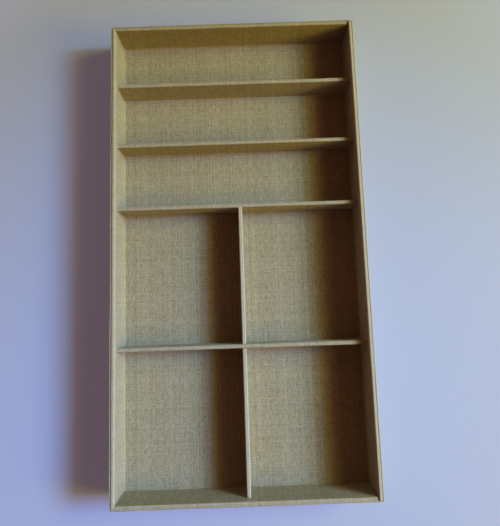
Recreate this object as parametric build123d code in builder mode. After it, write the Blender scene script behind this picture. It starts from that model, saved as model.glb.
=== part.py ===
from build123d import *
import os

os.makedirs("parts", exist_ok=True)

# A jewelry tray of board covered in linen book cloth, open at the top.
# +X is to the right, +Y is the back, where the narrow slots are, and +Z is up.
# The origin is on the surface the tray stands on, under the middle of the tray.

# Outside of the finished tray
tray_width = 200.0
tray_length = 376.0
tray_height = 34.0

# Boards and the cloth glued over them
wall_board_thickness = 2.5
divider_board_thickness = 2.0
base_board_thickness = 2.5
cloth = 0.45

# Cloth turned under the base, and the sheet that hides its edges
turn_in_width = 15.0
cover_margin = 3.0

# Rounding where the cloth goes over an edge of the board
wall_edge_radius = 0.7
divider_edge_radius = 0.6

# How far the short walls' right-hand ends are cut out of square, which opens a slit towards the rim
butt_end_gap = 1.3

# Layout, measured between the cloth faces at the floor
first_slot = 45.5
second_slot = 46.5
third_slot = 49.5
middle_row = 107.5
left_column = 96.8

# Dividers: their height above the floor, how far the rearmost one leans back at its top,
# and the half lap where the centre divider crosses the last cross divider
divider_height = 23.0
rear_divider_lean = 2.0
lap_share = 0.5
lap_clearance = 0.2
cut_overrun = 1.0

# Thickness over the cloth
wall = wall_board_thickness + 2 * cloth
divider = divider_board_thickness + 2 * cloth

# Heights of the layers of the base
turn_in_level = cloth
board_level = turn_in_level + cloth
base_top = board_level + base_board_thickness
floor_level = base_top + cloth

# Room between the walls
inner_width = tray_width - 2 * wall
inner_length = tray_length - 2 * wall

lap_height = divider_height * lap_share


def save(piece, name):
    piece.part.label = name
    export_step(piece.part, f"parts/{name}.step")


# The base: a board set between the wall boards, lined above and covered below

with BuildPart() as base_board:
    with BuildSketch(Plane.XY.offset(board_level)):
        Rectangle(inner_width + 2 * cloth, inner_length + 2 * cloth)
    extrude(amount=base_board_thickness)
save(base_board, "base_board")

with BuildPart() as floor_lining:
    with BuildSketch(Plane.XY.offset(base_top)):
        Rectangle(inner_width, inner_length)
    extrude(amount=cloth)
save(floor_lining, "floor_lining")

# The cover lies flat on the turned-in cloth and is pressed up to the board between them
with BuildPart() as underside_cover:
    with BuildSketch(Plane.XY):
        Rectangle(tray_width - 2 * cover_margin, tray_length - 2 * cover_margin)
    extrude(amount=cloth)
    with BuildSketch(Plane.XY.offset(turn_in_level)):
        Rectangle(tray_width - 2 * turn_in_width, tray_length - 2 * turn_in_width)
    extrude(amount=cloth)
save(underside_cover, "underside_cover")


# The walls: each is a board with its own cloth, glued over both faces, the rim and the ends,
# and turned under the base with mitred corners. The long walls run the full length.

# Middle of each wall's outer face, its direction, its length and the clear length inside the tray
walls = {
    "left_wall": ((-tray_width / 2, 0), (0, -1, 0), tray_length, inner_length),
    "right_wall": ((tray_width / 2, 0), (0, 1, 0), tray_length, inner_length),
    "back_wall": ((0, tray_length / 2), (-1, 0, 0), inner_width, inner_width),
    "front_wall": ((0, -tray_length / 2), (1, 0, 0), inner_width, inner_width),
}

against_face = (Align.CENTER, Align.MIN)

# The sloping right-hand end of the short walls, which meets the right wall at its foot
butt_end_rise = tray_height - turn_in_level
butt_end = Plane(origin=(inner_width / 2, 0, turn_in_level), z_dir=(butt_end_rise, 0, butt_end_gap))


def wall_plane(middle, along, level):
    # A level plane at a wall, whose local Y points from the outer face into the tray
    return Plane(origin=(*middle, level), x_dir=along, z_dir=(0, 0, 1))


for name, (middle, along, length, clear_length) in walls.items():
    turn_in_plane = wall_plane(middle, along, turn_in_level)
    board_plane = wall_plane(middle, along, board_level)
    inwards = Axis((*middle, 0), turn_in_plane.y_dir)

    with BuildPart() as wall_board:
        with BuildSketch(board_plane):
            with Locations((0, cloth)):
                Rectangle(length - 2 * cloth, wall_board_thickness, align=against_face)
        extrude(amount=tray_height - cloth - board_level)
        if length == inner_width:
            split(bisect_by=butt_end.offset(-cloth), keep=Keep.BOTTOM)
    save(wall_board, f"{name}_board")

    with BuildPart() as wall_cloth:
        with BuildSketch(turn_in_plane):
            Rectangle(length, wall, align=against_face)
        extrude(amount=tray_height - turn_in_level)
        if length == inner_width:
            split(bisect_by=butt_end, keep=Keep.BOTTOM)
        # Every edge is rounded but the one that runs on into the turn-in
        turned_edge = wall_cloth.edges().group_by(Axis.Z)[0].sort_by(inwards)[-1]
        sharp_edges = wall_cloth.edges().filter_by(GeomType.LINE)
        fillet([edge for edge in sharp_edges if edge != turned_edge], wall_edge_radius)
        # Room for the wall's board
        add(wall_board.part, mode=Mode.SUBTRACT)
        # Room for the edge of the base board, which meets the wall's board
        with BuildSketch(board_plane):
            with Locations((0, wall - cloth)):
                Rectangle(clear_length + 2 * cloth, cloth, align=against_face)
        extrude(amount=base_board_thickness, mode=Mode.SUBTRACT)
        # The turn-in under the base, with its corners cut to mitres
        with BuildSketch(turn_in_plane):
            with Locations((0, wall)):
                Trapezoid(clear_length, turn_in_width - wall, 45, align=against_face)
        extrude(amount=cloth)
    save(wall_cloth, f"{name}_cloth")


# The cross dividers stand on the floor lining between the long walls, from the back to the front.
# Their cloth goes over the top edge and down both faces, and is cut off flush at the foot and ends.

# Middle of each cross divider at its foot
cross_middles = []
face = inner_length / 2
for room in (first_slot, second_slot, third_slot, middle_row):
    cross_middles.append(face - room - divider / 2)
    face = face - room - divider

centre_middle = left_column - inner_width / 2 + divider / 2
lap_row = len(cross_middles)


def divider_outline(middle, thickness, height, lean=0):
    # A divider seen from its end, with the top shifted sideways in proportion to the height
    shift = lean * height / divider_height
    top = floor_level + height
    return [
        (middle - thickness / 2, floor_level),
        (middle + thickness / 2, floor_level),
        (middle + thickness / 2 + shift, top),
        (middle - thickness / 2 + shift, top),
    ]


# The openings that the two crossing dividers leave for each other, below in one and above in the other

with BuildPart() as lower_lap:
    with BuildSketch(Plane.XY.offset(floor_level)):
        with Locations((centre_middle, cross_middles[-1])):
            Rectangle(divider + lap_clearance, divider + cut_overrun)
    extrude(amount=lap_height)

with BuildPart() as upper_lap:
    with BuildSketch(Plane.XY.offset(floor_level + lap_height)):
        with Locations((centre_middle, cross_middles[-1])):
            Rectangle(divider + cut_overrun, divider + lap_clearance)
    extrude(amount=divider_height - lap_height)


for row, middle in enumerate(cross_middles, start=1):
    lean = rear_divider_lean if row == 1 else 0
    board_outline = divider_outline(middle, divider_board_thickness, divider_height - cloth, lean)

    with BuildPart() as cross_board:
        with BuildSketch(Plane.YZ):
            Polygon(*board_outline, align=None)
        extrude(amount=inner_width / 2, both=True)
        if row == lap_row:
            add(lower_lap.part, mode=Mode.SUBTRACT)
    save(cross_board, f"cross_divider_{row}_board")

    with BuildPart() as cross_cloth:
        with BuildSketch(Plane.YZ) as section:
            Polygon(*divider_outline(middle, divider, divider_height, lean), align=None)
            fillet(section.vertices().group_by(Axis.Y)[-1], divider_edge_radius)
            Polygon(*board_outline, align=None, mode=Mode.SUBTRACT)
        extrude(amount=inner_width / 2, both=True)
        if row == lap_row:
            add(lower_lap.part, mode=Mode.SUBTRACT)
    save(cross_cloth, f"cross_divider_{row}_cloth")


# The centre divider runs from the third cross divider to the front wall

back_end = cross_middles[-2] - divider / 2
centre_length = back_end + inner_length / 2
board_outline = divider_outline(centre_middle, divider_board_thickness, divider_height - cloth)

with BuildPart() as centre_board:
    with BuildSketch(Plane.XZ.offset(-back_end)):
        Polygon(*board_outline, align=None)
    extrude(amount=centre_length)
    add(upper_lap.part, mode=Mode.SUBTRACT)
save(centre_board, "centre_divider_board")

with BuildPart() as centre_cloth:
    with BuildSketch(Plane.XZ.offset(-back_end)) as section:
        Polygon(*divider_outline(centre_middle, divider, divider_height), align=None)
        fillet(section.vertices().group_by(Axis.Y)[-1], divider_edge_radius)
        Polygon(*board_outline, align=None, mode=Mode.SUBTRACT)
    extrude(amount=centre_length)
    add(upper_lap.part, mode=Mode.SUBTRACT)
save(centre_cloth, "centre_divider_cloth")
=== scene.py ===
import math
import bmesh
import bpy
from mathutils import Matrix, Vector, noise


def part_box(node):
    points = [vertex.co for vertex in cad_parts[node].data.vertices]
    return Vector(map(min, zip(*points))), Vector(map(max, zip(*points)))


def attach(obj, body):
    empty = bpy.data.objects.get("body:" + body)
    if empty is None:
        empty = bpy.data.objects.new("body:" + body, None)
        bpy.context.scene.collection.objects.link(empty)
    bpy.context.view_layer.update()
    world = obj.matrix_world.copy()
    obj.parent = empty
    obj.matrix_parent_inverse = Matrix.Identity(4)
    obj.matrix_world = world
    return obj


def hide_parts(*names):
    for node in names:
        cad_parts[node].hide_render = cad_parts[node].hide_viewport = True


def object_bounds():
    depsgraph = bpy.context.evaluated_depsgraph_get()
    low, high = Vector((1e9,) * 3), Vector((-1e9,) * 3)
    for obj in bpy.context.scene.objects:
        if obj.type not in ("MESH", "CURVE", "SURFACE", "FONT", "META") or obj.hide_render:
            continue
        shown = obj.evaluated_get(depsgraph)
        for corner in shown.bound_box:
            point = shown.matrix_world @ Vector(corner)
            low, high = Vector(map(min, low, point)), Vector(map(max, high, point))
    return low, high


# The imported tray, in metres: +X to the right, +Y to the back with its narrow slots, +Z up.
# It stands with the middle of its underside at the origin, and its boxes give the places used below.
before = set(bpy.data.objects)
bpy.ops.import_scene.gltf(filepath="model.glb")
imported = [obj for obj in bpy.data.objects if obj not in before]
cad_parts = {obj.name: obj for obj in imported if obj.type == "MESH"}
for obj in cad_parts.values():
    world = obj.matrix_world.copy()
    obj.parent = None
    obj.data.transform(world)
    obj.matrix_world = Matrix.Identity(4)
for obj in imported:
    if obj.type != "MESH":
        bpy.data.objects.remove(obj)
cad_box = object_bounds()


# The camera
# It looks almost straight down into the tray, a little from the front, as when someone holds it by hand
# over a table. Turns are in degrees.
camera_place = (0.0076, -0.0397, 0.42095)
camera_turns = (7.966, 0.059, -1.946)
camera_lens = 34.22
camera_shift = -0.062

camera = bpy.data.objects.new("camera", bpy.data.cameras.new("camera"))
camera.location = camera_place
camera.rotation_euler = [math.radians(turn) for turn in camera_turns]
camera.data.lens = camera_lens
camera.data.shift_y = camera_shift
bpy.context.scene.collection.objects.link(camera)
bpy.context.scene.camera = camera
bpy.context.scene.view_settings.view_transform = "Standard"


# The table and the light
# The tray stands on smooth pale paper, which further out runs into a pale backdrop. Daylight comes in low
# from the right: yellow from the front, greenish from the back, warm from higher up, with a wide cool beam
# on the larger compartments. A weak fill lamp stands at the left, and the world lifts the shadows a little.
paper_reach = 3.0
paper_drop = 0.00005
paper_colour = (0.312, 0.352, 0.476, 1)
paper_roughness = 0.8
paper_gloss = 0.05
paper_glow = (0.073, 0.060, 0.082, 1)
backdrop_colour = (0.47, 0.51, 0.66, 1)
backdrop_start = 0.26
backdrop_end = 0.46
lamp_distance = 1.6
lamps = {
    "side lamp": {"towards": (1.3, 0.35, 1.0), "size": 0.55, "power": 14.2, "colour": (0.76, 1.0, 0.165)},
    "low lamp": {"towards": (1.9, -0.5, 1.0), "size": 0.60, "power": 16.4, "colour": (1.0, 0.76, 0.02)},
    "high lamp": {"towards": (0.95, 0.0, 1.0), "size": 0.45, "power": 5.0, "colour": (1.0, 0.64, 0.30)},
    "fill lamp": {"towards": (-1.0, 0.5, 0.2), "size": 0.50, "power": 1.4, "colour": (1.0, 0.66, 0.30)},
}
beam = {"towards": (1.45, 0.15, 1.0), "size": 0.36, "power": 490.0, "colour": (0.148, 0.37, 1.0)}
beam_aim = Vector((0, -0.18, 0))
beam_angle = math.radians(24)
shadow_light = (0.135, 0.056, 0.036, 1)


def link(tree, source, target):
    tree.links.new(source, target)


def add_node(tree, kind, **settings):
    made = tree.nodes.new(kind)
    for setting, value in settings.items():
        setattr(made, setting, value)
    return made


def shown_plainly(tree):
    # One where the camera looks straight at a surface or sees it in a reflection, and none where the
    # surface lights others
    rays = add_node(tree, "ShaderNodeLightPath")
    mirrored = add_node(tree, "ShaderNodeMath", operation="ADD")
    shown = add_node(tree, "ShaderNodeMath", operation="ADD", use_clamp=True)
    link(tree, rays.outputs["Is Glossy Ray"], mirrored.inputs[0])
    link(tree, rays.outputs["Is Transmission Ray"], mirrored.inputs[1])
    link(tree, rays.outputs["Is Camera Ray"], shown.inputs[0])
    link(tree, mirrored.outputs["Value"], shown.inputs[1])
    return shown.outputs["Value"]


paper_shape = bmesh.new()
bmesh.ops.create_grid(paper_shape, x_segments=4, y_segments=4, size=paper_reach)
bmesh.ops.translate(paper_shape, verts=paper_shape.verts, vec=(0, 0, -paper_drop))
paper = bpy.data.objects.new("paper", bpy.data.meshes.new("paper"))
paper_shape.to_mesh(paper.data)
paper_shape.free()
bpy.context.scene.collection.objects.link(paper)

paper_finish = bpy.data.materials.new("smooth paper")
paper_finish.use_nodes = True
tree = paper_finish.node_tree
surface = tree.nodes["Principled BSDF"]
surface.inputs["Base Color"].default_value = paper_colour
surface.inputs["Roughness"].default_value = paper_roughness
surface.inputs["Specular IOR Level"].default_value = paper_gloss
surface.inputs["Emission Color"].default_value = paper_glow
place = add_node(tree, "ShaderNodeTexCoord")
from_tray = add_node(tree, "ShaderNodeVectorMath", operation="LENGTH")
far_out = add_node(tree, "ShaderNodeMapRange", interpolation_type="SMOOTHSTEP")
far_out.inputs["From Min"].default_value = backdrop_start
far_out.inputs["From Max"].default_value = backdrop_end
shown = shown_plainly(tree)
seen = add_node(tree, "ShaderNodeMath", operation="MULTIPLY")
glow = add_node(tree, "ShaderNodeEmission")
glow.inputs["Color"].default_value = backdrop_colour
mixed = add_node(tree, "ShaderNodeMixShader")
link(tree, place.outputs["Object"], from_tray.inputs[0])
link(tree, from_tray.outputs["Value"], far_out.inputs["Value"])
link(tree, far_out.outputs["Result"], seen.inputs[0])
link(tree, shown, seen.inputs[1])
link(tree, shown, surface.inputs["Emission Strength"])
link(tree, seen.outputs["Value"], mixed.inputs[0])
link(tree, surface.outputs["BSDF"], mixed.inputs[1])
link(tree, glow.outputs["Emission"], mixed.inputs[2])
link(tree, mixed.outputs["Shader"], tree.nodes["Material Output"].inputs["Surface"])
paper.data.materials.append(paper_finish)


def hang_lamp(name, kind, settings, aim):
    lamp = bpy.data.objects.new(name, bpy.data.lights.new(name, kind))
    direction = Vector(settings["towards"]).normalized()
    lamp.location = aim + direction * lamp_distance
    lamp.rotation_euler = direction.to_track_quat("Z", "Y").to_euler()
    lamp.data.energy = settings["power"]
    lamp.data.color = settings["colour"]
    bpy.context.scene.collection.objects.link(lamp)
    return lamp.data


for name, settings in lamps.items():
    lamp = hang_lamp(name, "AREA", settings, Vector())
    lamp.shape = "DISK"
    lamp.size = settings["size"]
lamp = hang_lamp("front beam", "SPOT", beam, beam_aim)
lamp.shadow_soft_size = beam["size"]
lamp.spot_size = beam_angle
lamp.spot_blend = 1.0

world = bpy.data.worlds.new("room")
world.use_nodes = True
tree = world.node_tree
seen = add_node(tree, "ShaderNodeMix", data_type="RGBA")
seen.inputs["A"].default_value = shadow_light
seen.inputs["B"].default_value = backdrop_colour
link(tree, shown_plainly(tree), seen.inputs["Factor"])
link(tree, seen.outputs["Result"], tree.nodes["Background"].inputs["Color"])
bpy.context.scene.world = world


# The boards
# Ten pieces of grey millboard, pressed from waste paper and glued edge to edge under the cloth. What would
# show of them in a gap is a speckled warm grey with short fibres.
board_dark = (0.22, 0.205, 0.18, 1)
board_light = (0.36, 0.335, 0.29, 1)
board_roughness = 0.9
board_fibre = 0.0009
board_fibre_detail = 4
board_relief = 0.00008


def clouds(tree, place, scale, detail):
    # Noise of the same size in every direction
    made = add_node(tree, "ShaderNodeTexNoise")
    made.inputs["Scale"].default_value = scale
    made.inputs["Detail"].default_value = detail
    link(tree, place, made.inputs["Vector"])
    return made.outputs


greyboard = bpy.data.materials.new("greyboard")
greyboard.use_nodes = True
tree = greyboard.node_tree
surface = tree.nodes["Principled BSDF"]
surface.inputs["Roughness"].default_value = board_roughness
place = add_node(tree, "ShaderNodeTexCoord")
fibres = clouds(tree, place.outputs["Object"], 1 / board_fibre, board_fibre_detail)
shade = add_node(tree, "ShaderNodeMix", data_type="RGBA")
shade.inputs["A"].default_value = board_dark
shade.inputs["B"].default_value = board_light
grain = add_node(tree, "ShaderNodeBump")
grain.inputs["Distance"].default_value = board_relief
link(tree, fibres["Fac"], shade.inputs["Factor"])
link(tree, shade.outputs["Result"], surface.inputs["Base Color"])
link(tree, fibres["Fac"], grain.inputs["Height"])
link(tree, grain.outputs["Normal"], surface.inputs["Normal"])

for name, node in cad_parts.items():
    if name.endswith("_board"):
        node.data.materials.clear()
        node.data.materials.append(greyboard)


# The floor lining
# One sheet of natural linen book cloth glued over the base. It was cut a little full, so its edges ride up
# against the walls in a small round. Its plain weave has uneven threads with thicker stretches, slubs.
thread = 0.00072
thread_wander = 0.00012
weave_relief = 0.00016
flax_dark = (0.135, 0.105, 0.05, 1)
flax_light = (0.49, 0.41, 0.27, 1)
# Paler flax on the rims, part wear and part painted highlight
flax_worn_and_lit = (0.56, 0.52, 0.44, 1)
flax_reddish = (1.045, 0.955, 0.93, 1)
flax_greenish = (0.955, 1.045, 1.07, 1)
flax_sheen = 0.15
flax_gloss = 0.1

# Even noise over the cloth: its scale per metre and its detail
wander_noise = (160, 2)
patch_noise = (55, 4)
tint_noise = (200, 3)

# How round a thread is and how far it rises over the next one, in thread widths
thread_roundness = 3.2
thread_rise = 0.32

# How much each of these moves the tone between dark and light flax
own_tone = 0.26
fibre_tone = 1.2
glint_tone = 0.22
between_threads_shade_tone = 0.45

# Slubs and fibres, in thread widths across and along the thread
slub_size = (1.5, 11.0)
fibre_width = 0.7

# The roughness of dark flax, and how much less it is on the palest
dark_roughness = 0.95
pale_smoothness = 0.15

# The paling on a fold, part wear and part painted highlight: how many radii down it is whole, and the room
# in which it fades out below them
worn_and_lit_radii = 1.2
worn_and_lit_fade = 0.0008

lining_low, lining_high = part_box("floor_lining")
cloth = lining_high.z - lining_low.z
lining_edge_round = 0.0011
lining_edge_shares = (0.1, 0.3, 0.6, 1.0)
lining_swell = 0.00008
lining_seed = 3.1
swell_step = 0.004
swell_spread = 0.02
cut_tolerance = 1e-7
sharp_fold = math.radians(50)


def calculate(tree, operation, *values):
    # A Math node on sockets and plain numbers
    made = add_node(tree, "ShaderNodeMath", operation=operation)
    for socket, value in zip(made.inputs, values):
        if isinstance(value, bpy.types.NodeSocket):
            link(tree, value, socket)
        else:
            socket.default_value = value
    return made.outputs["Value"]


def uneven(tree, across, along, across_size, along_size, detail):
    # Noise that is drawn out along a thread
    stretched = add_node(tree, "ShaderNodeCombineXYZ")
    link(tree, calculate(tree, "DIVIDE", across, across_size), stretched.inputs["X"])
    link(tree, calculate(tree, "DIVIDE", along, along_size), stretched.inputs["Y"])
    cloudy = add_node(tree, "ShaderNodeTexNoise")
    cloudy.inputs["Scale"].default_value = 1
    cloudy.inputs["Detail"].default_value = detail
    link(tree, stretched.outputs["Vector"], cloudy.inputs["Vector"])
    return cloudy.outputs["Fac"]


def make_weave():
    # Plain weave on the two directions of whichever flat face the cloth covers
    tree = bpy.data.node_groups.new("plain linen weave", "ShaderNodeTree")
    for name, kind in (
        ("Place", "NodeSocketVector"),
        ("Facing", "NodeSocketVector"),
        ("Thread", "NodeSocketFloat"),
        ("Wander", "NodeSocketFloat"),
        ("Slubs", "NodeSocketFloat"),
        ("Patches", "NodeSocketFloat"),
        ("Dark", "NodeSocketColor"),
        ("Light", "NodeSocketColor"),
        ("Worn and lit", "NodeSocketFloat"),
        ("Worn and lit color", "NodeSocketColor"),
    ):
        tree.interface.new_socket(name, in_out="INPUT", socket_type=kind)
    for name, kind in (
        ("Color", "NodeSocketColor"),
        ("Height", "NodeSocketFloat"),
        ("Roughness", "NodeSocketFloat"),
    ):
        tree.interface.new_socket(name, in_out="OUTPUT", socket_type=kind)
    given = add_node(tree, "NodeGroupInput").outputs
    result = add_node(tree, "NodeGroupOutput").inputs

    place = add_node(tree, "ShaderNodeSeparateXYZ")
    link(tree, given["Place"], place.inputs["Vector"])
    facing = add_node(tree, "ShaderNodeSeparateXYZ")
    link(tree, given["Facing"], facing.inputs["Vector"])
    x, y, z = place.outputs
    half_turned = math.sqrt(0.5)
    sideways = calculate(tree, "ABSOLUTE", facing.outputs["X"])
    endways = calculate(tree, "ABSOLUTE", facing.outputs["Y"])
    on_side = calculate(tree, "GREATER_THAN", sideways, half_turned)
    on_end = calculate(tree, "GREATER_THAN", endways, half_turned)
    u = calculate(tree, "MULTIPLY_ADD", on_side, calculate(tree, "SUBTRACT", z, x), x)
    v = calculate(tree, "MULTIPLY_ADD", on_end, calculate(tree, "SUBTRACT", z, y), y)

    # Threads wander a little to either side
    wander = clouds(tree, given["Place"], *wander_noise)
    drift = add_node(tree, "ShaderNodeSeparateXYZ")
    link(tree, wander["Color"], drift.inputs["Vector"])
    u = calculate(tree, "MULTIPLY_ADD", drift.outputs["X"], given["Wander"], u)
    v = calculate(tree, "MULTIPLY_ADD", drift.outputs["Y"], given["Wander"], v)
    u = calculate(tree, "DIVIDE", u, given["Thread"])
    v = calculate(tree, "DIVIDE", v, given["Thread"])

    warp_number = calculate(tree, "FLOOR", u)
    weft_number = calculate(tree, "FLOOR", v)

    def thread_height(across, along, number, sign):
        # Round across the thread, and rising and dipping along it
        off_middle = calculate(tree, "SUBTRACT", calculate(tree, "FRACT", across), 0.5)
        squared = calculate(tree, "MULTIPLY", off_middle, off_middle)
        flank = calculate(tree, "MULTIPLY", squared, thread_roundness)
        phase = calculate(tree, "MULTIPLY", calculate(tree, "ADD", along, number), math.pi)
        wave = calculate(tree, "MULTIPLY", calculate(tree, "SINE", phase), thread_rise * sign)
        return calculate(tree, "SUBTRACT", wave, flank)

    warp_height = thread_height(u, v, warp_number, 1)
    weft_height = thread_height(v, u, weft_number, -1)
    warp_over = calculate(tree, "GREATER_THAN", warp_height, weft_height)
    height = calculate(tree, "ADD", calculate(tree, "MAXIMUM", warp_height, weft_height), 0.5)

    def thread_tone(number, across, along, seed, share, fibre_length):
        # Each thread has its own tone, and thicker, paler stretches
        own = add_node(tree, "ShaderNodeTexWhiteNoise", noise_dimensions="1D")
        link(tree, calculate(tree, "ADD", number, seed), own.inputs["W"])
        slub = uneven(tree, calculate(tree, "ADD", number, seed), along, *slub_size, detail=3)
        fibre = uneven(tree, across, along, fibre_width, fibre_length, detail=2)
        own_share = own_tone * share
        tone = calculate(tree, "MULTIPLY_ADD", own.outputs["Value"], own_share, -own_share / 2)
        slub = calculate(tree, "MULTIPLY", calculate(tree, "SUBTRACT", slub, 0.5), share)
        tone = calculate(tree, "MULTIPLY_ADD", slub, given["Slubs"], tone)
        fibre = calculate(tree, "SUBTRACT", fibre, 0.5)
        return calculate(tree, "MULTIPLY_ADD", fibre, fibre_tone * share, tone)

    warp_tone = thread_tone(warp_number, u, v, seed=13.7, share=1.15, fibre_length=8.5)
    weft_tone = thread_tone(weft_number, v, u, seed=71.3, share=0.80, fibre_length=4.5)
    difference = calculate(tree, "SUBTRACT", warp_tone, weft_tone)
    tone = calculate(tree, "MULTIPLY_ADD", warp_over, difference, weft_tone)

    # Where threads cross, each catches the light in its own way: a painted glint, lighter or darker at
    # random, in the colour
    crossing = add_node(tree, "ShaderNodeCombineXYZ")
    link(tree, warp_number, crossing.inputs["X"])
    link(tree, weft_number, crossing.inputs["Y"])
    glint = add_node(tree, "ShaderNodeTexWhiteNoise", noise_dimensions="2D")
    link(tree, crossing.outputs["Vector"], glint.inputs["Vector"])
    catch = calculate(tree, "SUBTRACT", glint.outputs["Value"], 0.5)
    tone = calculate(tree, "MULTIPLY_ADD", catch, glint_tone, tone)

    # Wide patches where the cloth took up more or less glue
    patch = clouds(tree, given["Place"], *patch_noise)
    cloudy = calculate(tree, "SUBTRACT", patch["Fac"], 0.5)
    tone = calculate(tree, "MULTIPLY_ADD", cloudy, given["Patches"], tone)

    # Deep between the threads the colour is painted darker, as painted shade
    tone = calculate(tree, "MULTIPLY_ADD", calculate(tree, "SUBTRACT", height, 0.5), between_threads_shade_tone, tone)
    tone = calculate(tree, "ADD", tone, 0.5)
    colour = add_node(tree, "ShaderNodeMix", data_type="RGBA", clamp_factor=True)
    link(tree, tone, colour.inputs["Factor"])
    link(tree, given["Dark"], colour.inputs["A"])
    link(tree, given["Light"], colour.inputs["B"])

    # Flax is a little redder in some places and greener in others
    shade = clouds(tree, given["Place"], *tint_noise)
    tint = add_node(tree, "ShaderNodeMix", data_type="RGBA")
    tint.inputs["A"].default_value = flax_reddish
    tint.inputs["B"].default_value = flax_greenish
    link(tree, shade["Fac"], tint.inputs["Factor"])
    tinted = add_node(tree, "ShaderNodeMix", data_type="RGBA", blend_type="MULTIPLY")
    tinted.inputs["Factor"].default_value = 1
    link(tree, colour.outputs["Result"], tinted.inputs["A"])
    link(tree, tint.outputs["Result"], tinted.inputs["B"])

    # Along the folds the fibres are rubbed up and paler, and the colour is painted paler still as a
    # highlight where a rim faces the light
    rubbed_and_lit = add_node(tree, "ShaderNodeMix", data_type="RGBA", clamp_factor=True)
    link(tree, given["Worn and lit"], rubbed_and_lit.inputs["Factor"])
    link(tree, tinted.outputs["Result"], rubbed_and_lit.inputs["A"])
    link(tree, given["Worn and lit color"], rubbed_and_lit.inputs["B"])
    link(tree, rubbed_and_lit.outputs["Result"], result["Color"])
    link(tree, height, result["Height"])
    roughness = calculate(tree, "MULTIPLY_ADD", tone, -pale_smoothness, dark_roughness)
    link(tree, roughness, result["Roughness"])
    return tree


weave = make_weave()


def linen_finish(name, dark, light, slubs, patches):
    # Matt flax cloth with a faint sheen of loose fibres
    finish = bpy.data.materials.new(name)
    finish.use_nodes = True
    tree = finish.node_tree
    surface = tree.nodes["Principled BSDF"]
    surface.inputs["Sheen Weight"].default_value = flax_sheen
    surface.inputs["Specular IOR Level"].default_value = flax_gloss
    place = add_node(tree, "ShaderNodeTexCoord")
    woven = add_node(tree, "ShaderNodeGroup", node_tree=weave)
    woven.inputs["Thread"].default_value = thread
    woven.inputs["Wander"].default_value = thread_wander
    woven.inputs["Slubs"].default_value = slubs
    woven.inputs["Patches"].default_value = patches
    woven.inputs["Dark"].default_value = dark
    woven.inputs["Light"].default_value = light
    woven.inputs["Worn and lit color"].default_value = flax_worn_and_lit
    folds = add_node(tree, "ShaderNodeAttribute", attribute_name="worn_and_lit")
    relief = add_node(tree, "ShaderNodeBump")
    relief.inputs["Distance"].default_value = weave_relief
    link(tree, place.outputs["Object"], woven.inputs["Place"])
    link(tree, place.outputs["Normal"], woven.inputs["Facing"])
    link(tree, folds.outputs["Fac"], woven.inputs["Worn and lit"])
    link(tree, woven.outputs["Color"], surface.inputs["Base Color"])
    link(tree, woven.outputs["Roughness"], surface.inputs["Roughness"])
    link(tree, woven.outputs["Height"], relief.inputs["Height"])
    link(tree, relief.outputs["Normal"], surface.inputs["Normal"])
    return finish


linen = linen_finish("linen book cloth", flax_dark, flax_light, slubs=0.6, patches=0.10)


def cut_rows(bm, direction, places):
    # Rows of edges square to a direction, so that the cloth can swell between them
    for row in places:
        everything = bm.verts[:] + bm.edges[:] + bm.faces[:]
        bmesh.ops.bisect_plane(
            bm, geom=everything, plane_co=direction * row, plane_no=direction, dist=cut_tolerance,
        )


def rows_between(start, end, step):
    count = max(1, round((end - start) / step))
    return [start + (end - start) * row / count for row in range(1, count)]


def swell(bm, amount, seed):
    # Glued cloth never lies quite flat: it stands off its board by up to this amount
    bm.normal_update()
    raised = [(vert, vert.normal.copy()) for vert in bm.verts]
    for vert, outwards in raised:
        share = 0.5 + 0.5 * noise.noise(vert.co / swell_spread + Vector((seed, seed, seed)))
        vert.co += outwards * amount * share


def wear_and_highlight_folds(bm, top, radius, wear_and_highlight):
    # Marks how pale the cloth over an upper edge is, partly worn and partly a painted highlight, which the
    # finish shows paler
    worn_and_lit = bm.verts.layers.float.new("worn_and_lit")
    for vert in bm.verts:
        vert[worn_and_lit] = wear_and_highlight if vert.co.z > top - radius * worn_and_lit_radii else 0


def make_piece(bm, name, node, finish):
    # The cloth becomes a piece that stands for its CAD solid, smooth but for its sharp folds
    for face in bm.faces:
        face.smooth = True
    for edge in bm.edges:
        edge.smooth = edge.calc_face_angle(0) < sharp_fold
    mesh = bpy.data.meshes.new(name)
    bm.to_mesh(mesh)
    bm.free()
    mesh.materials.append(finish)
    piece = bpy.data.objects.new(name, mesh)
    bpy.context.scene.collection.objects.link(piece)
    level = piece.modifiers.new("flat faces", "WEIGHTED_NORMAL")
    level.keep_sharp = True
    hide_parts(node)
    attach(piece, "root")
    return piece


floor = bmesh.new()
floor_size = lining_high - lining_low
bmesh.ops.create_grid(
    floor,
    x_segments=round(floor_size.x / swell_step),
    y_segments=round(floor_size.y / swell_step),
    size=0.5,
)
bmesh.ops.scale(floor, verts=floor.verts, vec=(floor_size.x, floor_size.y, 1))
for direction, reach in ((Vector((1, 0, 0)), floor_size.x / 2), (Vector((0, 1, 0)), floor_size.y / 2)):
    for side in (-1, 1):
        edge_rows = [side * (reach - lining_edge_round * share) for share in lining_edge_shares]
        cut_rows(floor, direction, edge_rows)
swell(floor, lining_swell, lining_seed)
for vert in floor.verts:
    from_edge = min(floor_size.x / 2 - abs(vert.co.x), floor_size.y / 2 - abs(vert.co.y))
    over = max(0, lining_edge_round - from_edge)
    vert.co.z += lining_edge_round - math.sqrt(lining_edge_round**2 - over**2)
bmesh.ops.translate(floor, verts=floor.verts, vec=(0, 0, lining_high.z))
bmesh.ops.solidify(floor, geom=floor.faces[:], thickness=cloth)
floor_cloth = make_piece(floor, "floor_lining_cloth", "floor_lining", linen)


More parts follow.
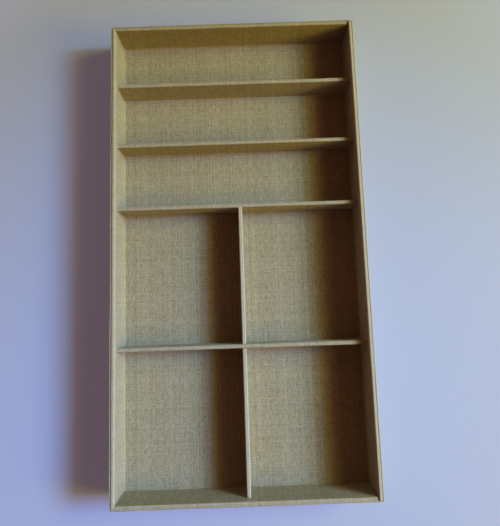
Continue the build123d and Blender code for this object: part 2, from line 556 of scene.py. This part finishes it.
# The walls' cloths
# Each wall board is wrapped in its own strip of linen: up the outside, over the rim and down the inside,
# with 15 mm turned under the base and mitred. The cloth laps over itself along the rim's outer edge, where
# it leaves a narrow groove, and the lap stands off a little, most of all on the left wall.
fold_round = 0.0007
fold_steps = 4
same_place = 0.00002
square_corner = 1.2
wall_swell = 0.00010
slit_width = 0.0013

# The groove's place from the outer face, and its floor as a share of its width
groove_place = 0.0008
groove_floor_share = 0.6

# The lap: its rounded edge, how far down it stands off, how loose it is where it is held down and how far
# from there it comes loose, and how uneven it is along the wall
lap_round = 0.00012
lap_steps = 2
lap_reach = 0.006
held_share = 0.5
held_reach = 0.06
uneven_middle = 0.75
uneven_amount = 0.5
uneven_length = 0.025
uneven_seeds = 100

base_top = lining_low.z
outer_low, outer_high = cad_box
rim = outer_high.z
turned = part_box("left_wall_cloth")[0].z
wall = lining_low.x - outer_low.x
turn_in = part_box("left_wall_cloth")[1].x - outer_low.x

# For each wall: the middle of its outer face and its direction, the groove's half width and depth, how far
# the lap stands off and how far it lies below the rim, the place along the wall where it is held down, the
# paling of the rim (part wear, part painted highlight, most where the rim faces the light), and the seed of
# its swells
walls = {
    "left_wall": {
        "middle": (outer_low.x, 0, 0), "along": (0, -1, 0),
        "groove": (0.00040, 0.0026), "lap": (0.00045, 0.00015), "held": 0.011, "wear_and_highlight": 0.30, "seed": 8,
    },
    "right_wall": {
        "middle": (outer_high.x, 0, 0), "along": (0, 1, 0),
        "groove": (0.00018, 0.0006), "lap": (0.00015, 0.00010), "held": -0.090, "wear_and_highlight": 0.55, "seed": 11,
    },
    "back_wall": {
        "middle": (0, outer_high.y, 0), "along": (-1, 0, 0),
        "groove": (0.00020, 0.0009), "lap": (0.00015, 0.00025), "held": 0.020, "wear_and_highlight": 0.06, "seed": 9,
    },
    "front_wall": {
        "middle": (0, outer_low.y, 0), "along": (1, 0, 0),
        "groove": (0.00016, 0.0008), "lap": (0.00015, 0.00025), "held": -0.040, "wear_and_highlight": 0.15, "seed": 10,
    },
}


def at(value, target):
    return abs(value - target) < same_place


def wall_strip(length, long_wall, slit_side):
    # Local X runs along the wall, Y from its outer face into the tray, and Z up
    bm = bmesh.new()
    bmesh.ops.create_cube(bm, size=1)
    bmesh.ops.scale(bm, verts=bm.verts, vec=(length, wall, rim - turned))
    bmesh.ops.translate(bm, verts=bm.verts, vec=(0, wall / 2, (rim + turned) / 2))
    rounded = []
    for edge in bm.edges:
        ends = [vert.co for vert in edge.verts]
        on_rim = all(at(end.z, rim) for end in ends)
        on_foot = all(at(end.z, turned) for end in ends)
        outside = all(at(end.y, 0) for end in ends)
        inside = all(at(end.y, wall) for end in ends)
        short_end = not long_wall and at(ends[0].x, ends[1].x)
        across = at(abs(ends[0].y - ends[1].y), wall)
        kept_sharp = (on_foot and inside) or (on_rim and outside) or short_end or (on_rim and across)
        if not kept_sharp:
            rounded.append(edge)
    if not long_wall:
        for vert in bm.verts:
            if at(vert.co.x * slit_side, -length / 2):
                vert.co.x -= slit_side * cloth
    bmesh.ops.bevel(
        bm, geom=rounded, offset=fold_round, affect="EDGES", segments=fold_steps, profile=0.5, material=-1,
        clamp_overlap=True,
    )
    lap_edges = []
    for edge in bm.edges:
        if all(at(vert.co.z, rim) for vert in edge.verts) and edge.calc_face_angle(0) > square_corner:
            if long_wall or all(at(vert.co.y, 0) for vert in edge.verts):
                lap_edges.append(edge)
    bmesh.ops.bevel(
        bm, geom=lap_edges, offset=lap_round, affect="EDGES", segments=lap_steps, profile=0.5, material=-1,
        clamp_overlap=True,
    )
    return bm


def wall_rows(bm, length, clear_length, long_wall, groove_rows):
    along, inwards, up = Vector((1, 0, 0)), Vector((0, 1, 0)), Vector((0, 0, 1))
    cut_rows(bm, inwards, groove_rows)
    if long_wall:
        for side in (-1, 1):
            cut_rows(bm, along, [side * (length / 2 - row) for row in groove_rows])
    cut_rows(bm, along, [-clear_length / 2, clear_length / 2])
    cut_rows(bm, up, [base_top] + rows_between(base_top, rim - fold_round, swell_step))
    cut_rows(bm, up, [rim - fold_round - worn_and_lit_fade])
    cut_rows(bm, along, rows_between(-clear_length / 2, clear_length / 2, swell_step))


def turn_under(bm, clear_length):
    # The inside ends at the base board, and the foot runs on under it, with mitred ends
    below_base = []
    for face in bm.faces:
        middle = face.calc_center_median()
        if at(middle.y, wall) and middle.z < base_top and abs(middle.x) < clear_length / 2:
            below_base.append(face)
    bmesh.ops.delete(bm, geom=below_base, context="FACES")
    foot = []
    for edge in bm.edges:
        middle = (edge.verts[0].co + edge.verts[1].co) / 2
        level = all(at(vert.co.z, turned) and at(vert.co.y, wall) for vert in edge.verts)
        if level and edge.is_boundary and abs(middle.x) < clear_length / 2:
            foot.append(edge)
    made = bmesh.ops.extrude_edge_only(bm, edges=foot)
    run = turn_in - wall
    for vert in made["geom"]:
        if isinstance(vert, bmesh.types.BMVert):
            vert.co.y += run
            vert.co.x *= (clear_length / 2 - run) / (clear_length / 2)


def open_lap(bm, length, long_wall, groove, lap, held_place):
    # The groove beside the lap is deep and the lap stands off, except near the place where it is held down
    half_width, depth = groove
    stand_off, drop = lap
    for vert in bm.verts:
        from_end = length / 2 - abs(vert.co.x)
        loose = min(1, held_share + abs(vert.co.x - held_place) / held_reach)
        along_wall = Vector((vert.co.x / uneven_length, held_place * uneven_seeds, 0))
        loose *= uneven_middle + uneven_amount * noise.noise(along_wall)
        from_edge = min(vert.co.y, from_end) if long_wall else vert.co.y
        in_groove = abs(from_edge - groove_place) < half_width * (1 + groove_floor_share) / 2
        on_lap = vert.co.y < groove_place
        if vert.co.z > rim - lap_round / 2 and in_groove:
            vert.co.z -= depth * min(1, loose)
        if on_lap:
            rise = max(0, 1 - (rim - vert.co.z) / lap_reach)
            tapered = min(1, max(0, from_end) / lap_reach) if long_wall else 1
            vert.co.y -= stand_off * loose * tapered * rise * rise
            vert.co.z -= drop * loose * tapered * rise


def open_slit(bm, length, slit_side):
    # The end leans away from the right wall, but the outer cloth runs on up to it
    for vert in bm.verts:
        if at(vert.co.x * slit_side, length / 2) and vert.co.y > groove_place:
            vert.co.x -= slit_side * slit_width * (vert.co.z - turned) / (rim - turned)


for name, facts in walls.items():
    low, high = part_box(f"{name}_cloth")
    long_wall = name in ("left_wall", "right_wall")
    length = (high - low).y if long_wall else (high - low).x
    clear_length = lining_high.y - lining_low.y if long_wall else lining_high.x - lining_low.x
    slit_side = -1 if name == "back_wall" else 1
    strip = wall_strip(length, long_wall, slit_side)
    groove_shares = (-1, -groove_floor_share, groove_floor_share, 1)
    groove_rows = [groove_place + facts["groove"][0] * share for share in groove_shares]
    wall_rows(strip, length, clear_length, long_wall, groove_rows)
    turn_under(strip, clear_length)
    open_lap(strip, length, long_wall, facts["groove"], facts["lap"], facts["held"])
    if not long_wall:
        open_slit(strip, length, slit_side)
    swell(strip, wall_swell, facts["seed"])
    bmesh.ops.solidify(strip, geom=strip.faces[:], thickness=cloth)
    wear_and_highlight_folds(strip, rim, fold_round, facts["wear_and_highlight"])
    inwards = Vector((0, 0, 1)).cross(Vector(facts["along"]))
    turn = Matrix((facts["along"], inwards, (0, 0, 1))).transposed().to_4x4()
    strip.transform(Matrix.Translation(facts["middle"]) @ turn)
    piece = make_piece(strip, f"{name}_linen", f"{name}_cloth", linen)


# The dividers' cloths
# A strip of the same linen is folded over the top edge of each divider board and glued down both faces. It
# is cut off flush at the foot and the ends, which butt against the walls. Two dividers cross in a half lap.
divider_round = 0.0006
divider_swell = 0.00008
cross_seeds = 5.3
centre_seed = 31.7
crossing_share = 0.5
crossing_room = 0.0002
crossing_gap = 0.0008
# How pale the divider rims are painted, part wear and part painted highlight
cross_wear_and_highlight = 0.12
centre_wear_and_highlight = 0.42
floor_top = lining_high.z


def divider_strip(length, thickness, height):
    # Local X runs along the divider, Y across it, and Z up from its foot
    bm = bmesh.new()
    bmesh.ops.create_cube(bm, size=1)
    bmesh.ops.scale(bm, verts=bm.verts, vec=(length, thickness, height))
    bmesh.ops.translate(bm, verts=bm.verts, vec=(0, 0, height / 2))
    open_sides = []
    for face in bm.faces:
        middle = face.calc_center_median()
        if at(middle.z, 0) or at(abs(middle.x), length / 2):
            open_sides.append(face)
    bmesh.ops.delete(bm, geom=open_sides, context="FACES")
    folds = []
    for edge in bm.edges:
        if all(at(vert.co.z, height) for vert in edge.verts) and not edge.is_boundary:
            folds.append(edge)
    bmesh.ops.bevel(
        bm, geom=folds, offset=divider_round, affect="EDGES", segments=fold_steps, profile=0.5, material=-1,
        clamp_overlap=True,
    )
    cut_rows(bm, Vector((1, 0, 0)), rows_between(-length / 2, length / 2, swell_step))
    cut_rows(bm, Vector((0, 0, 1)), rows_between(0, height - divider_round, swell_step))
    cut_rows(bm, Vector((0, 0, 1)), [height - divider_round - worn_and_lit_fade])
    return bm


def cut_crossing(bm, middle, room, low, high):
    # The opening that two crossing dividers leave for each other
    cut_rows(bm, Vector((1, 0, 0)), [middle - room / 2, middle + room / 2])
    cut_rows(bm, Vector((0, 0, 1)), [row for row in (low, high) if row > 0])
    opening = []
    for face in bm.faces:
        at_face = face.calc_center_median()
        if abs(at_face.x - middle) < room / 2 and low < at_face.z < high:
            opening.append(face)
    bmesh.ops.delete(bm, geom=opening, context="FACES")


centre_low, centre_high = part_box("centre_divider_cloth")
crossed_low, crossed_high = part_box("cross_divider_4_cloth")
divider_height = crossed_high.z - crossed_low.z
thickness = centre_high.x - centre_low.x
crossing_height = divider_height * crossing_share
centre_middle = (centre_low.x + centre_high.x) / 2
crossed_middle = (crossed_low.y + crossed_high.y) / 2

for row in range(1, 5):
    name = f"cross_divider_{row}"
    low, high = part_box(f"{name}_cloth")
    lean = (high.y - low.y) - thickness
    strip = divider_strip(high.x - low.x, thickness, divider_height)
    if row == 4:
        cut_crossing(strip, centre_middle, thickness + crossing_room, 0, crossing_height)
    swell(strip, divider_swell, row * cross_seeds)
    bmesh.ops.solidify(strip, geom=strip.faces[:], thickness=cloth)
    wear_and_highlight_folds(strip, divider_height, divider_round, cross_wear_and_highlight)
    foot_middle = low.y + thickness / 2
    for vert in strip.verts:
        vert.co.y += lean * vert.co.z / divider_height
    bmesh.ops.translate(strip, verts=strip.verts, vec=(0, foot_middle, floor_top))
    piece = make_piece(strip, f"{name}_linen", f"{name}_cloth", linen)

strip = divider_strip(centre_high.y - centre_low.y, thickness, divider_height)
crossed_at = crossed_middle - (centre_low.y + centre_high.y) / 2
past_top = 2 * divider_height
cut_crossing(strip, crossed_at, thickness + crossing_gap, crossing_height, past_top)
swell(strip, divider_swell, centre_seed)
bmesh.ops.solidify(strip, geom=strip.faces[:], thickness=cloth)
wear_and_highlight_folds(strip, divider_height, divider_round, centre_wear_and_highlight)
strip.transform(Matrix.Rotation(math.pi / 2, 4, "Z"))
strip.transform(Matrix.Translation((centre_middle, (centre_low.y + centre_high.y) / 2, floor_top)))
piece = make_piece(strip, "centre_divider_linen", "centre_divider_cloth", linen)


# The underside cover
# A sheet of the same linen glued flat over the turned-in edges. Between them it is pressed up to the base
# board, so their edges show through it as a faint step.
step_height = 0.00030
step_run = 0.003

under_low, under_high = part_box("underside_cover")
under_size = under_high - under_low
under_linen = linen_finish("underside linen", flax_dark, flax_light, slubs=0.7, patches=0.25)
under = bmesh.new()
bmesh.ops.create_grid(
    under,
    x_segments=round(under_size.x / swell_step),
    y_segments=round(under_size.y / swell_step),
    size=0.5,
)
bmesh.ops.scale(under, verts=under.verts, vec=(under_size.x, under_size.y, 1))
bmesh.ops.reverse_faces(under, faces=under.faces[:])
for vert in under.verts:
    inside_step = min(
        outer_high.x - turn_in - abs(vert.co.x),
        outer_high.y - turn_in - abs(vert.co.y),
    )
    share = min(1, max(0, inside_step / step_run + 0.5))
    vert.co.z += step_height * share * share * (3 - 2 * share)
bmesh.ops.solidify(under, geom=under.faces[:], thickness=cloth)
piece = make_piece(under, "underside_linen", "underside_cover", under_linen)
